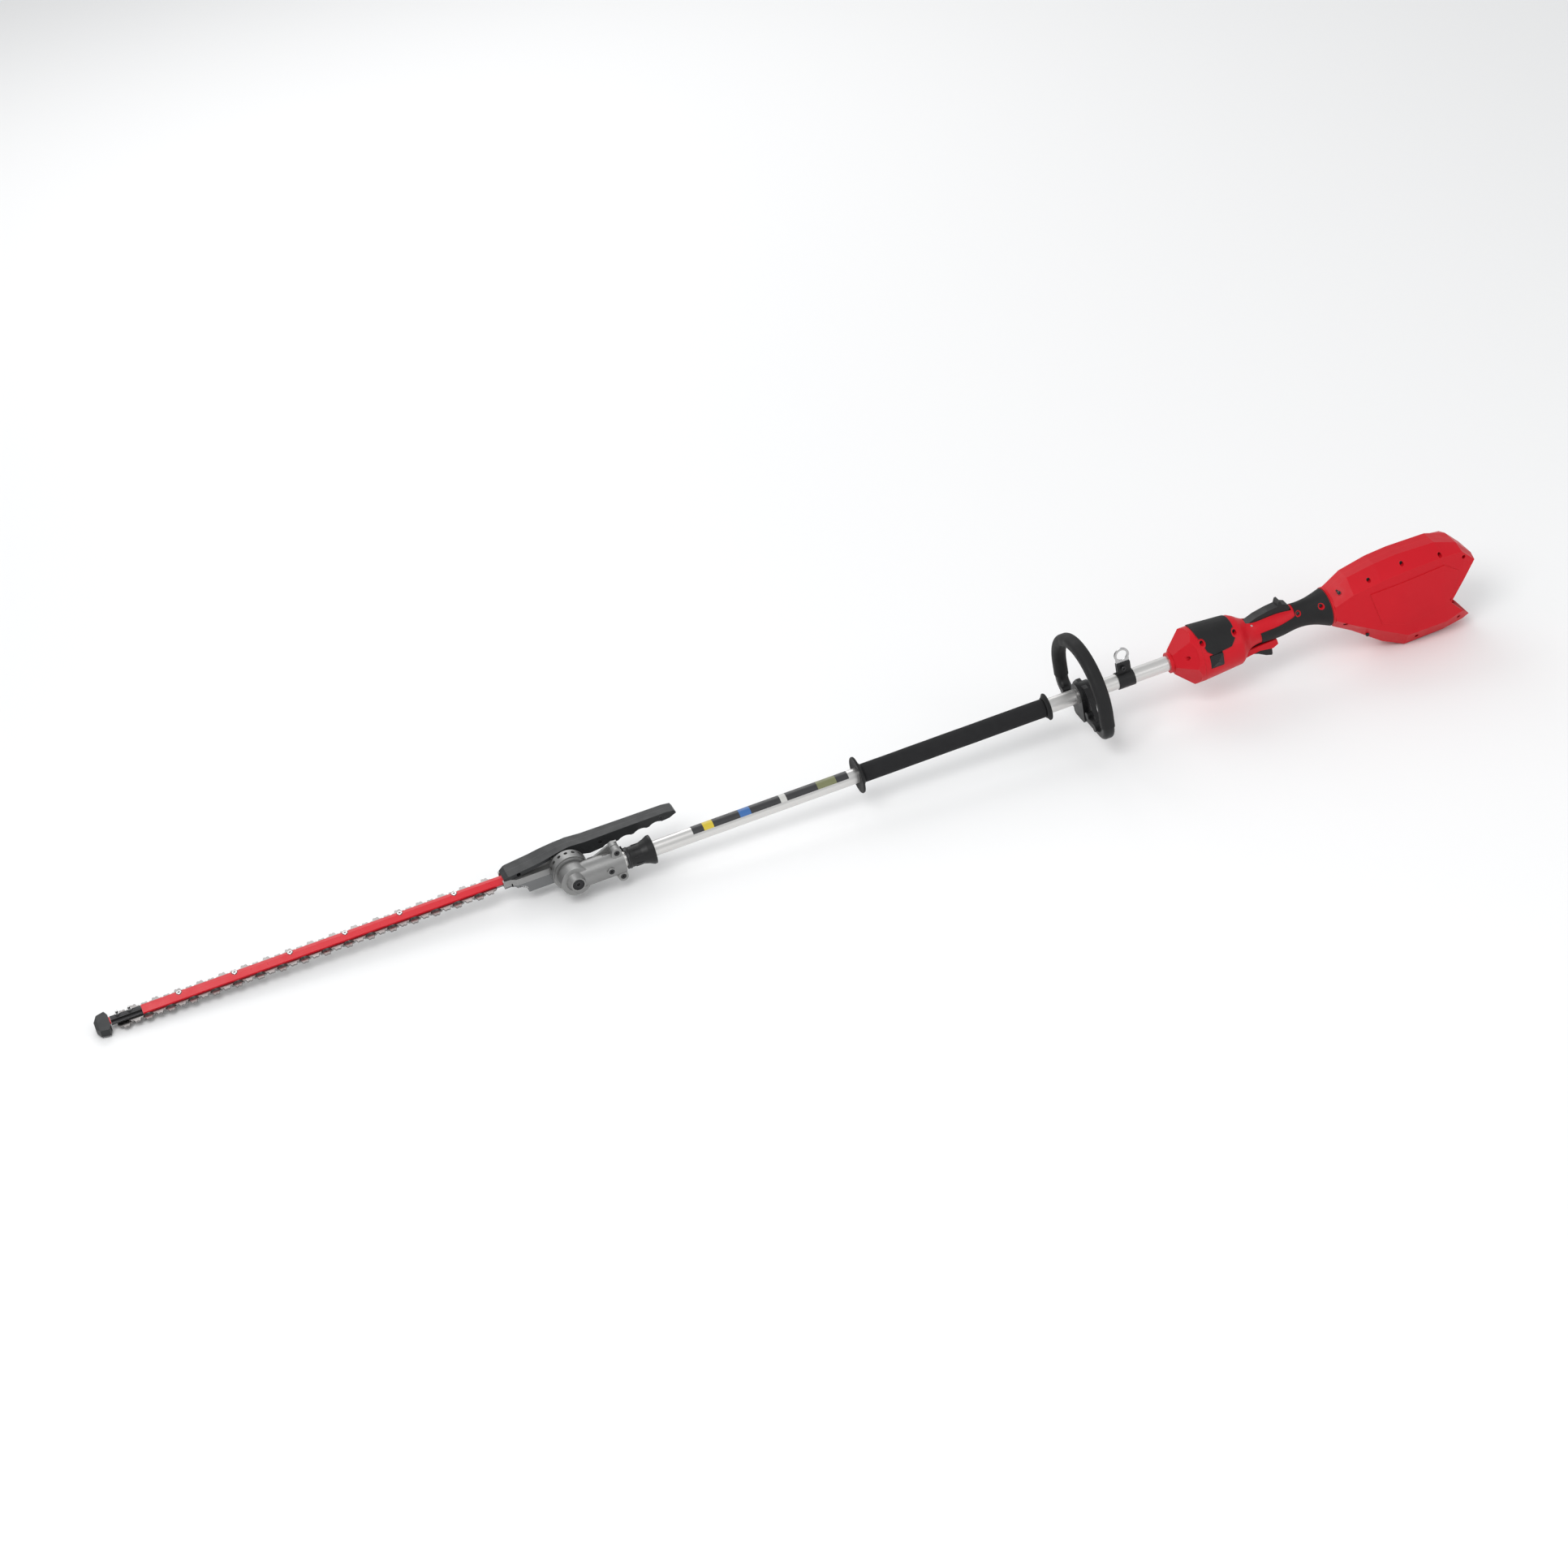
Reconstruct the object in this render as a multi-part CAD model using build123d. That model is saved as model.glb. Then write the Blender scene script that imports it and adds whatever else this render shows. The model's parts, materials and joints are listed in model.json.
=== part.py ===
"""Battery pole hedge trimmer: an articulating double-sided cutter head on a straight aluminium pole,
with a loop handle, a harness eye and a motor and battery housing at the rear end.

Every function works in the pole's frame: the pole axis is the X axis, the cutter points to -X, the
battery to +X, +Z is up and the cutter hangs beside the pole on its +Y side. The finished nodes are
written with the centre of the harness eye as origin, so the pole axis lies eye_rise below it.
"""

from build123d import *
import os
from math import atan2, cos, degrees, pi, radians, sin

os.makedirs("parts", exist_ok=True)

# Pole and what sits on it (mm)
pole_r = 12.7
pole_wall = 1.6
pole_start = -930.0
pole_end = 112.0
eye_rise = 47.0
eye_hole_r = 9.25
band_half = 14.5

# Articulating joint
hinge_x = -967.0
detents = 13
detent_step = 22.5
detent_y = 26.0
drum_r = 31.0
drum_y0 = 9.3
barrel_r = 20.5
barrel_end = -884.0

# Lock: front face of the ring plate with the pin pulled back; it locks 4 mm further forward
plate_x = -879.7

# Cutter
blade_y = 57.0
blade_z = -2.0
pitch = 36.6
tooth_count = 17
tooth_reach = 23.0
blade_t = 2.4
blade_gap = 0.15
bar_root = -1072.0
bar_end = -1671.0
tip_x = -1748.0
crank_x = -1028.4
idler_x = -1000.0
cam_throw = 7.0
cam_r = 7.5

# Gear case
case_y0 = 34.0
case_y1 = 80.0
case_bottom = -21.5
case_top = 8.6
case_end_r = 22.0

# Loop handle
loop_x = -75.0
loop_half = 92.0
loop_apex = 92.0
loop_low = -34.0

# Power head
ring_x = 125.0
motor_r = 48.0
motor_end_x = 198.0
motor_end_r = 43.0
neck_x = 368.0
wall = 2.6


def cyl_x(radius, x0, x1, y=0.0, z=0.0):
    return Pos((x0 + x1) / 2, y, z) * Rot(0, 90, 0) * Cylinder(radius, x1 - x0)


def cyl_y(radius, y0, y1, x=0.0, z=0.0):
    return Pos(x, (y0 + y1) / 2, z) * Rot(90, 0, 0) * Cylinder(radius, y1 - y0)


def cyl_z(radius, z0, z1, x=0.0, y=0.0):
    return Pos(x, y, (z0 + z1) / 2) * Cylinder(radius, z1 - z0)


def cone_x(r0, r1, x0, x1, y=0.0, z=0.0):
    """Cone along X with radius r0 at x0 and r1 at x1."""
    return Pos((x0 + x1) / 2, y, z) * Rot(0, 90, 0) * Cone(r0, r1, x1 - x0)


def cone_y(r0, r1, y0, y1, x=0.0, z=0.0):
    """Cone along Y with radius r0 at y0 and r1 at y1."""
    return Pos(x, (y0 + y1) / 2, z) * Rot(-90, 0, 0) * Cone(r0, r1, y1 - y0)


def block(x0, x1, y0, y1, z0, z1):
    return Pos((x0 + x1) / 2, (y0 + y1) / 2, (z0 + z1) / 2) * Box(x1 - x0, y1 - y0, z1 - z0)


def prism_xz(points, y0, y1):
    """Outline in X-Z given a thickness from y0 to y1."""
    outline = Plane.XZ.offset(-y1) * Polygon(*points, align=None)
    return extrude(outline, y1 - y0, dir=(0, -1, 0))


def prism_xy(points, z0, z1):
    return extrude(Plane.XY.offset(z0) * Polygon(*points, align=None), z1 - z0, dir=(0, 0, 1))


def prism_yz(points, x0, x1):
    return extrude(Plane.YZ.offset(x0) * Polygon(*points, align=None), x1 - x0, dir=(1, 0, 0))


def turned_x(points):
    """Profile of (x, radius) points turned about the pole axis."""
    return revolve(Plane.XY * Polygon(*points, align=None), Axis.X, 360)


def ring_x_solid(r_in, r_out, x0, x1, y=0.0, z=0.0):
    return cyl_x(r_out, x0, x1, y, z) - cyl_x(r_in, x0 - 1, x1 + 1, y, z)


def socket_screw(head_r, head_h, shank_r, shank_len, hex_flat):
    """Cap screw standing on z=0 with its head upwards and its shank below."""
    head = Pos(0, 0, head_h / 2) * Cylinder(head_r, head_h)
    head = chamfer(head.edges().group_by(Axis.Z)[-1], head_r * 0.12)
    shank = Pos(0, 0, -shank_len / 2) * Cylinder(shank_r, shank_len)
    socket = Pos(0, 0, head_h * 0.4) * extrude(RegularPolygon(hex_flat, 6), head_h)
    return head + shank - socket


def placed(part, x, y, z, toward):
    """Move a part built on +Z so that its +Z points toward the named direction."""
    turns = {
        "-Y": Rot(90, 0, 0),
        "+Y": Rot(-90, 0, 0),
        "+Z": Rot(0, 0, 0),
        "-Z": Rot(180, 0, 0),
        "-X": Rot(0, -90, 0),
        "+X": Rot(0, 90, 0),
    }
    return Pos(x, y, z) * turns[toward] * part


# ---------------------------------------------------------------- cutter

def blade_outline(first_tooth):
    """Flat outline of one blade: spine, gullets between the teeth, teeth and the crank yoke."""
    spine_half = 17.0
    gullet_r = 9.0
    last = first_tooth + pitch * (tooth_count - 1)
    length = last - first_tooth + pitch * 0.7
    middle = (first_tooth + last) / 2
    flat = Pos(middle, 0) * Rectangle(length, 2 * spine_half)
    cuts = []
    teeth = []
    for i in range(tooth_count):
        x = first_tooth + pitch * i
        for side in (-1, 1):
            corners = [(x - 8.6 * side, side * 9), (x + 8.6 * side, side * 9),
                       (x + 4.2 * side, side * tooth_reach), (x - 4.2 * side, side * tooth_reach)]
            teeth.append(Polygon(*corners, align=None))
    for i in range(tooth_count + 1):
        x = first_tooth + pitch * (i - 0.5)
        for side in (-1, 1):
            cuts.append(Pos(x, side * 19.5) * Circle(gullet_r))
            cuts.append(Pos(x, side * 22.0) * Rectangle(2 * gullet_r, 5))
    flat = flat - cuts + teeth
    nicks = []
    for i in range(tooth_count):
        for side in (-1, 1):
            nicks.append(Pos(first_tooth + pitch * i, side * (tooth_reach + 0.4)) * Circle(1.5))
    tail = Pos((last + crank_x) / 2, 0) * Rectangle(crank_x - last, 16)
    yoke = Pos(crank_x, 0) * Rectangle(50, 36)
    window = Pos(crank_x, 0) * Rectangle(43.8, 29.8)
    slots = []
    for x in screw_stations():
        slots.append(Pos(x, 0) * SlotCenterToCenter(2 * cam_throw + 2.4, 7.4))
    return flat + tail + yoke - window - nicks - slots


def screw_stations():
    """Six clamping screws, two and a half tooth pitches apart."""
    return [bar_end + 62 + 2.5 * pitch * i for i in range(6)]


def blade(first_tooth, level):
    z0 = blade_z + (blade_gap / 2 if level > 0 else -blade_gap / 2 - blade_t)
    flat = extrude(blade_outline(first_tooth), blade_t, dir=(0, 0, 1))
    return Pos(0, blade_y, z0) * flat


def upper_blade():
    return blade(bar_end - 30 + pitch / 2, 1)


def lower_blade():
    return blade(bar_end - 30, -1)


def support_bar():
    """Extruded bar of half-hexagon section that stiffens the blades, lying on four pads."""
    z0 = blade_z + blade_gap / 2 + blade_t + 0.35
    section = [(-11, 0), (-11, 2.6), (-3.6, 8.4), (3.0, 8.4), (11, 2.6), (11, 0)]
    points = [(blade_y + y, z0 + z) for y, z in section]
    bar = prism_yz(points, bar_end, bar_root + 8)
    under = block(bar_end - 1, bar_root - 8, blade_y - 5.5, blade_y + 5.5, z0 - 1, z0 + 1.6)
    holes = [cyl_z(2.1, z0 - 2, z0 + 12, x, blade_y) for x in screw_stations()]
    seats = [cyl_z(5.2, z0 + 5.6, z0 + 12, x, blade_y) for x in screw_stations()]
    return bar - under - holes - seats


def bar_nose():
    """Bare end of the blade carrier ahead of the painted bar, with a raised centre rib."""
    z0 = blade_z + blade_gap / 2 + blade_t + 0.35
    plate = block(-1722, bar_end - 0.2, blade_y - 11, blade_y + 11, z0, z0 + 2.2)
    rib = block(-1722, bar_end - 0.2, blade_y - 3.2, blade_y + 3.2, z0 + 2.2, z0 + 4.4)
    holes = [cyl_z(2.1, z0 - 1, z0 + 6, x, blade_y + 7.2) for x in nose_studs()]
    return plate + rib - holes


def nose_studs():
    return [bar_end - 18, bar_end - 38]


def tip_studs():
    z0 = blade_z + blade_gap / 2 + blade_t + 0.35
    studs = []
    for x in nose_studs():
        shank = cyl_z(2.1, z0, z0 + 10.4, x, blade_y + 7.2)
        nut = Pos(x, blade_y + 7.2, z0 + 2.2 + 1.6) * extrude(RegularPolygon(4.4, 6), 3.2, both=True)
        nut = nut & cyl_z(4.2, z0 + 2.2, z0 + 5.8, x, blade_y + 7.2)
        studs.append(shank + nut)
    return Compound(children=studs)


def tip_guard():
    """Blunt bumper over the end of the blades, wider than the teeth, with a pale centre band."""
    outline = [(tip_x, -10), (tip_x, 10), (tip_x + 7, 21), (tip_x + 20, 25), (tip_x + 24, 14),
               (tip_x + 24, -14), (tip_x + 20, -25), (tip_x + 5, -22)]
    points = [(x, blade_y + y) for x, y in outline]
    guard = prism_xy(points, blade_z - 4.6, blade_z + 7.6)
    guard = guard - block(tip_x + 10, tip_x + 30, blade_y - 17, blade_y + 17, blade_z - 2.9, blade_z + 2.85)
    low = blade_z + 2.85
    guard = guard - block(-1722.2, -1700, blade_y - 11.2, blade_y + 11.2, low - 1, blade_z + 9)
    slope_top = prism_xz([(tip_x - 1, blade_z + 3), (tip_x - 1, blade_z + 9), (tip_x + 8, blade_z + 9)],
                         blade_y - 30, blade_y + 30)
    return guard - slope_top


def tip_spacer():
    """Small red key between the bumper and the bare end of the carrier."""
    return block(-1724, -1722.3, blade_y - 7, blade_y + 7, blade_z + 2.9, blade_z + 7.2)


def bar_screws():
    z0 = blade_z + blade_gap / 2 + blade_t + 0.35
    screws = []
    for x in screw_stations():
        low = z0 + 5.6
        screw = socket_screw(4.6, 3.4, 2.0, low - (blade_z - 7.4), 2.0)
        screws.append(placed(screw, x, blade_y, low, "+Z"))
    return Compound(children=screws)


def blade_guides():
    """Sleeves round the screws on which the slots of both blades run."""
    low = blade_z - blade_t - blade_gap - 0.5
    high = blade_z + blade_t + blade_gap + 0.27
    return Compound(children=[
        cyl_z(3.5, low, high, x, blade_y) - cyl_z(2.0, low - 1, high + 1, x, blade_y)
        for x in screw_stations()])


def blade_nuts():
    low = blade_z - blade_t - blade_gap - 0.5
    nuts = []
    for x in screw_stations():
        nut = Pos(x, blade_y, low - 3.4) * extrude(RegularPolygon(5.0, 6), 3.4)
        nuts.append(nut - cyl_z(2.0, low - 5, low + 1, x, blade_y))
    return Compound(children=nuts)


# ---------------------------------------------------------------- gear case and handle

def case_outline():
    """Side view of the gear case: low nose over the blades, deep middle, round end at the hinge."""
    return [(-1073, blade_z - 3.2), (-1073, case_top), (hinge_x, case_top), (hinge_x, case_bottom),
            (-1040, case_bottom), (-1056, blade_z - 3.2)]


def case_body():
    body = prism_xz(case_outline(), case_y0, case_y1) + cyl_y(case_end_r, case_y0, case_y1, hinge_x)
    narrow = block(-1080, -1062, case_y0 - 1, 40, -30, 30) + block(-1080, -1062, 74, 90, -30, 30)
    corner = prism_xy([(-1062.01, 33), (-1062.01, 40), (-1050, 33)], -30, 30)
    corner = corner + prism_xy([(-1062.01, 81), (-1062.01, 74), (-1050, 81)], -30, 30)
    return body - narrow - corner - cyl_y(11, case_y0 - 1, case_y1 + 1, -1047, -17)


def case_cavity():
    """Room for the gears, the blade yokes and the bevels, with seats for the two upright journals."""
    yokes = block(-1061.3, -993, blade_y - 18.9, blade_y + 18.9, blade_z - 3.1, blade_z + 3.1)
    throat = block(-1080, -1061, blade_y - 8.9, blade_y + 8.9, blade_z - 3.3, blade_z + 3.1)
    well = cyl_z(21.2, -17.6, blade_z, crank_x, blade_y) & block(-1060, -990, 36.9, 77.1, -19, 5)
    idler = cyl_z(12.3, -17.6, 6, idler_x, blade_y)
    bevels = cyl_x(12.0, -998, -954.6, blade_y) + cyl_y(11.6, 43, blade_y, hinge_x)
    journals = cyl_z(4.55, 0, 7.0, crank_x, blade_y) + cyl_z(4.55, -20.2, -17, crank_x, blade_y)
    journals = journals + cyl_z(3.05, -20.2, -17, idler_x, blade_y)
    shaft = cyl_y(8.0, 30, 50, hinge_x)
    mouth = block(-1080, bar_root + 8, blade_y - 11, blade_y + 11, blade_z, blade_z + 12)
    return yokes + throat + well + idler + bevels + journals + shaft + mouth


def handle_pedestal():
    """Sloping web on the case that the handle lies on, with a narrow tongue up into the handle."""
    web = prism_xz([(-1046, case_top), (-975, 22.5), (-952, 22.5), (-945, 0), (-975, 0), (-1046, 4)], 46, 68)
    return web + handle_tongue()


def handle_tongue():
    return prism_xz([(-1053, case_top - 1), (-1053, 13.6), (-979, 23.2), (-958, 25.4), (-956, 20),
                     (-975, 18), (-1046, 6)], blade_y - 4, blade_y + 4)


def gear_case_upper():
    body = case_body() + handle_pedestal()
    body = body & block(-1080, -900, 30, 90, blade_z, 40)
    return body - case_cavity() - case_screw_holes() - handle_sockets()


def gear_case_lower():
    body = case_body() & block(-1080, -900, 30, 90, -60, blade_z)
    body = body - case_cavity() - case_screw_holes()
    for x, y, seat in case_screw_stations():
        body = body - cyl_z(2.15, -40, seat, x, y)
    return body


def case_screw_stations():
    """Six small screws from below: x, y and the height of the seat under the head."""
    front = [(-1049, y, -6.4) for y in (36.4, 77.6)]
    middle = [(-986.5, y, -19.4) for y in (38, 76)]
    rear = [(-951.5, y, -13.4) for y in (38, 76)]
    return front + middle + rear


def case_screw_holes():
    return [cyl_z(1.25, seat - 1, 5.0, x, y) for x, y, seat in case_screw_stations()]


def case_screws():
    return Compound(children=[
        placed(socket_screw(2.0, 1.6, 1.25, 5.0 - seat, 0.9), x, y, seat, "-Z")
        for x, y, seat in case_screw_stations()])


def drum_holes():
    """Radial detent holes; the head tips 180 degrees up and back and 90 degrees down."""
    holes = []
    for i in range(detents):
        angle = radians(-90 + detent_step * i)
        middle = drum_r - 1.5
        hole = Pos(hinge_x + middle * cos(angle), detent_y, middle * sin(angle))
        holes.append(hole * Rot(0, -degrees(angle), 0) * Rot(0, 90, 0) * Cylinder(3.15, 15))
    return holes


def detent_drum():
    drum = cyl_y(drum_r, drum_y0, case_y0, hinge_x)
    rim = cyl_y(drum_r + 1, drum_y0 - 1, drum_y0 + 3.5, hinge_x) - cyl_y(drum_r - 2.0, 0, 20, hinge_x)
    drum = drum - rim - cyl_y(20.0, 8, 15.4, hinge_x) - cyl_y(8.0, 0, 40, hinge_x)
    return drum - drum_holes()


def handle_profile(inset):
    """Side view of the adjusting handle: slim nose over the case, grip with finger scallops."""
    top = [(-1071 + inset, 11.5), (-1063, 15.5 - inset), (-1018, 20.5 - inset), (-975, 27.5 - inset),
           (-955, 29.5 - inset), (-930, 27.5 - inset), (-790, 27.5 - inset), (-776, 25.5 - inset),
           (-773 - inset, 20.0)]
    bottom = [(-786, 14.5 + inset), (-925, 3.5 + inset), (-944, 8.5 + inset), (-952, 22.5 + inset),
              (-975, 22.5 + inset), (-1046, 8.6 + inset), (-1071 + inset, 8.6 + inset * 0.5)]
    return top + bottom


def handle_solid(inset=0.0):
    body = prism_xz(handle_profile(inset), blade_y - 22 + inset, blade_y + 22 - inset)
    plan = [(-1072, -14), (-1060, -18), (-1000, -18), (-960, -14.5), (-860, -13), (-772, -12)]
    points = [(x, blade_y + y + inset) for x, y in plan]
    points += [(x, blade_y - y - inset) for x, y in reversed(plan)]
    body = body & prism_xy(points, -10, 40)
    return body


def finger_scallops():
    """Four shallow hollows under the grip."""
    slope = (14.5 - 3.5) / (925 - 786)
    cuts = []
    for i in range(4):
        x = -890 + 27 * i
        z = 3.5 + slope * (x + 925)
        cuts.append(cyl_y(20.0, 30, 90, x, z - 16.6))
    return cuts


def handle_half(side):
    body = handle_solid() - handle_solid(2.4) - finger_scallops()
    ribs = [cyl_y(5.0, blade_y - 20, blade_y + 20, x, z) for x, z in handle_screw_stations()]
    ribs = [rib & handle_solid() for rib in ribs]
    body = body + ribs - handle_tongue()
    body = body - block(-1080, bar_root + 8, blade_y - 11.2, blade_y + 11.2, 0, 9.3)
    for x, z in handle_screw_stations():
        body = body - cyl_y(1.9, blade_y - 30, blade_y + 12, x, z) - cyl_y(3.6, 20, blade_y - 9.5, x, z)
    if side < 0:
        return body & block(-1100, -700, 20, blade_y, -20, 60)
    return body & block(-1100, -700, blade_y, 100, -20, 60)


def handle_screw_stations():
    return [(-1046, 13.2), (-986, 21.9), (-905, 17.0), (-800, 20.4)]


def handle_screws():
    screws = []
    for x, z in handle_screw_stations():
        screw = socket_screw(3.3, 2.8, 1.9, 20.0, 1.6)
        screws.append(placed(screw, x, blade_y - 9.5, z, "-Y"))
    return Compound(children=screws)


def handle_sockets():
    """Clearance in the case's web and tongue for the handle screws and their heads."""
    shanks = [cyl_y(2.0, 20, 100, x, z) for x, z in handle_screw_stations()]
    heads = [cyl_y(3.7, 20, blade_y - 9.5, x, z) for x, z in handle_screw_stations()]
    return shanks + heads


# ---------------------------------------------------------------- drive train

def bevel_frustum(distance0, distance1, ratio=1.0):
    """Blank of a bevel gear on +Z with its pitch apex at z=0, minus running clearance."""
    r0 = distance0 * ratio - 0.4
    r1 = distance1 * ratio - 0.4
    blank = Pos(0, 0, (distance0 + distance1) / 2) * Cone(r0, r1, distance1 - distance0)
    hub = Pos(0, 0, distance1 + 1.0) * Cylinder(r1 - 0.6, 2.0)
    cuts = []
    teeth = 14
    slope = degrees(atan2(r1 - r0, distance1 - distance0))
    for i in range(teeth):
        groove = Pos((r0 + r1) / 2, 0, (distance0 + distance1) / 2) * Rot(0, slope, 0)
        cuts.append(Rot(0, 0, 360 / teeth * i) * groove * Box(0.9, 0.9, 12))
    return (blank - cuts) + hub


def drive_shaft():
    """Steel shaft through the pole with a bevel pinion at its hinge end."""
    shaft = cyl_x(4.0, -959.0, 127.4)
    bevel = placed(bevel_frustum(4, 8), hinge_x, 0, 0, "+X")
    return shaft + bevel


def shaft_coupler():
    """Sleeve that joins the drive shaft to the motor shaft."""
    return ring_x_solid(4.0, 7.5, 117.0, 138.0)


def hinge_shaft():
    """Cross shaft on the hinge axis that carries the drive from the pole into the head."""
    shaft = cyl_y(3.0, -12.0, blade_y - 6.6, hinge_x)
    near = placed(bevel_frustum(4, 8), hinge_x, 0, 0, "-Y")
    far = placed(bevel_frustum(6, 11), hinge_x, blade_y, 0, "-Y")
    return shaft + near + far


def input_shaft():
    """Short shaft in the head between the hinge bevels and the idler."""
    rear = placed(bevel_frustum(6, 11), hinge_x, blade_y, 0, "-X")
    front = placed(bevel_frustum(6, 11), idler_x, blade_y, 0, "+X")
    return rear + front + cyl_x(3.5, -989, -978, blade_y)


def spur(radius, teeth, z0, z1, x):
    blank = cyl_z(radius, z0, z1, x, blade_y)
    gap = 2 * pi * radius / teeth * 0.45
    cuts = []
    for i in range(teeth):
        cut = Pos(radius, 0, (z0 + z1) / 2) * Box(2.4, gap, z1 - z0 + 2)
        cuts.append(Pos(x, blade_y, 0) * Rot(0, 0, 360 / teeth * i) * cut)
    return blank - cuts


def idler_gear():
    bevel = placed(bevel_frustum(6, 9.6), idler_x, blade_y, 0, "-Z")
    return bevel + spur(8.2, 12, -17.0, -11.6, idler_x) + cyl_z(3.0, -20.0, -5.4, idler_x, blade_y)


def crank_gear():
    """Spur wheel with two opposed eccentric cams, one in the yoke of each blade."""
    wheel = spur(19.7, 30, -17.0, -12.0, crank_x)
    journal = cyl_z(4.5, -20.0, 6.6, crank_x, blade_y)
    low = blade_z - blade_gap / 2 - blade_t
    lower_cam = cyl_z(cam_r, low, low + blade_t, crank_x, blade_y - cam_throw)
    upper_cam = cyl_z(cam_r, blade_z + 0.08, blade_z + 0.08 + blade_t, crank_x, blade_y + cam_throw)
    return wheel + journal + lower_cam + upper_cam


def head_bearings():
    """Ball bearings, drawn as rings: two on the hinge shaft, one on the input shaft."""
    rings = [
        cyl_y(8.0, 18.0, 24.0, hinge_x) - cyl_y(3.05, 17.0, 25.0, hinge_x),
        cyl_y(8.0, 30.0, 36.0, hinge_x) - cyl_y(3.05, 29.0, 37.0, hinge_x),
        cyl_x(12.0, -986.0, -981.4, blade_y) - cyl_x(3.55, -990, -978, blade_y),
    ]
    return Compound(children=rings)


def shaft_bushes():
    bore = pole_r - pole_wall
    return Compound(children=[ring_x_solid(4.05, bore, x - 9, x + 9) for x in (-840, -560, -280, 0, 90)])


# ---------------------------------------------------------------- shaft housing and lock

def shaft_housing():
    """Casting that clamps on the pole, holds the bevels and carries the drum on a spigot."""
    body = cyl_x(barrel_r, hinge_x, barrel_end)
    body = body + cyl_y(25.0, -14.0, 8.6, hinge_x)
    body = body + cone_y(11.6, 17.0, -24.0, -14.0, hinge_x)
    body = body + cyl_y(8.5, -13, 13, -893.5, 24.5) + cyl_y(8.5, -13, 13, -891.5, -22.0)
    body = body + block(-902, -885, -12, 12, 0, 24) + block(-900, -884, -12, 12, -22, 0)
    body = body + prism_xz([(-950, 0), (-936, 14), (-893, 33), (-886, 33), (-886, 0)], 8.0, 12.0)
    body = body + cyl_y(6.6, -23.0, -10.0, -910, 1.0)
    body = body + cyl_x(6.5, -934.6, -890, detent_y) + block(-934, -892, 10, 24, -6, 6)
    body = body - cyl_y(drum_r + 0.9, 8.9, 40, hinge_x)
    spigot = cyl_y(19.95, 8.0, 15.0, hinge_x) - cyl_y(14.0, 7.0, 16.0, hinge_x)
    body = body + spigot
    body = body - cyl_x(pole_r, pole_start, barrel_end + 1) - cyl_x(9.4, hinge_x, pole_start + 1)
    body = body - cyl_y(14.0, -12.6, 20.0, hinge_x)
    body = body - cyl_y(6.0, -30, 0, hinge_x) - cyl_y(9.8, -24.1, -19.0, hinge_x)
    body = body - block(-916, -880, -0.8, 0.8, 11, 40) - block(-916, -880, -0.8, 0.8, -40, -11)
    body = body - cyl_x(3.05, -940, -880, detent_y)
    for x, z in ((-893.5, 24.5), (-891.5, -22.0)):
        body = body - cyl_y(2.5, -20, 20, x, z) - cyl_y(4.8, -20, -8.5, x, z)
    body = body - cyl_y(2.5, -30, -12.0, -910, 1.0) - cyl_y(4.8, -30, -18.5, -910, 1.0)
    return body


def pivot_bolt():
    """Hollow-socket bolt that closes the gear chamber on the hinge axis."""
    bolt = socket_screw(9.7, 3.8, 5.95, 3.8, 3.6)
    return placed(bolt, hinge_x, -19.0, 0, "-Y")


def pole_screws():
    """M5 cap screws: three in the casting, two in the loop's clamp, one with a nut at the eye."""
    screws = [placed(m5_screw(20.0), x, -8.5, z, "-Y") for x, z in ((-893.5, 24.5), (-891.5, -22.0))]
    screws.append(placed(m5_screw(5.6), -910, -18.5, 1.0, "-Y"))
    screws = screws + [placed(m5_screw(52.0), loop_x, y, -44.0, "-Z") for y in (-17, 17)]
    screws.append(placed(m5_screw(12.4), -2, -3.6, 24, "-Y"))
    nut = Pos(-2, 3.6, 24) * Rot(-90, 0, 0) * extrude(RegularPolygon(4.4, 6), 3.2)
    screws.append(nut - cyl_y(2.5, 0, 12, -2, 24))
    return Compound(children=screws)


def m5_screw(length):
    return socket_screw(4.4, 4.2, 2.45, length, 2.2)


def lock_collar():
    """Pull-back sleeve: waisted grip with a flared rim and shallow ribs."""
    front = plate_x + 3
    outer = [(front, 12.8), (front, 17.4), (-874.6, 18.0), (-872.6, 16.8), (-864, 16.8), (-854, 17.4),
             (-844, 20.6), (-837, 24.0), (-833.3, 24.0), (-833.3, 15.3), (-860, 15.3), (-860, 12.8)]
    body = turned_x(outer)
    ribs = []
    for i in range(8):
        rib = Pos(-859, 0, 17.2) * Box(14, 1.6, 1.6)
        ribs.append(Rot(45 * i + 22.5, 0, 0) * rib)
    return body + ribs


def lock_plunger():
    """Detent pin and the ring plate that ties it to the collar, drawn pulled back out of the drum."""
    pin = cyl_x(3.0, hinge_x + drum_r + 0.6, plate_x + 1, detent_y)
    plate = cyl_x(17.4, plate_x, plate_x + 3) + block(plate_x, plate_x + 3, 0, detent_y + 4.5, -5, 5)
    return pin + plate - cyl_x(12.8, plate_x - 4, plate_x + 7)


def lock_spring():
    """Coil between the collar's inner shoulder and the stop ring."""
    coil = Helix(pitch=4.2, height=20, radius=14.0, direction=(1, 0, 0))
    wire = sweep(Plane(origin=coil @ 0, z_dir=coil % 0) * Circle(0.6), path=coil)
    return Pos(-858.4, 0, 0) * wire


def spring_stop():
    return ring_x_solid(pole_r, 15.0, -837.2, -835.0)


# ---------------------------------------------------------------- pole, label, grips

def pole_tube():
    return ring_x_solid(pole_r - pole_wall, pole_r, pole_start, pole_end)


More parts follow.
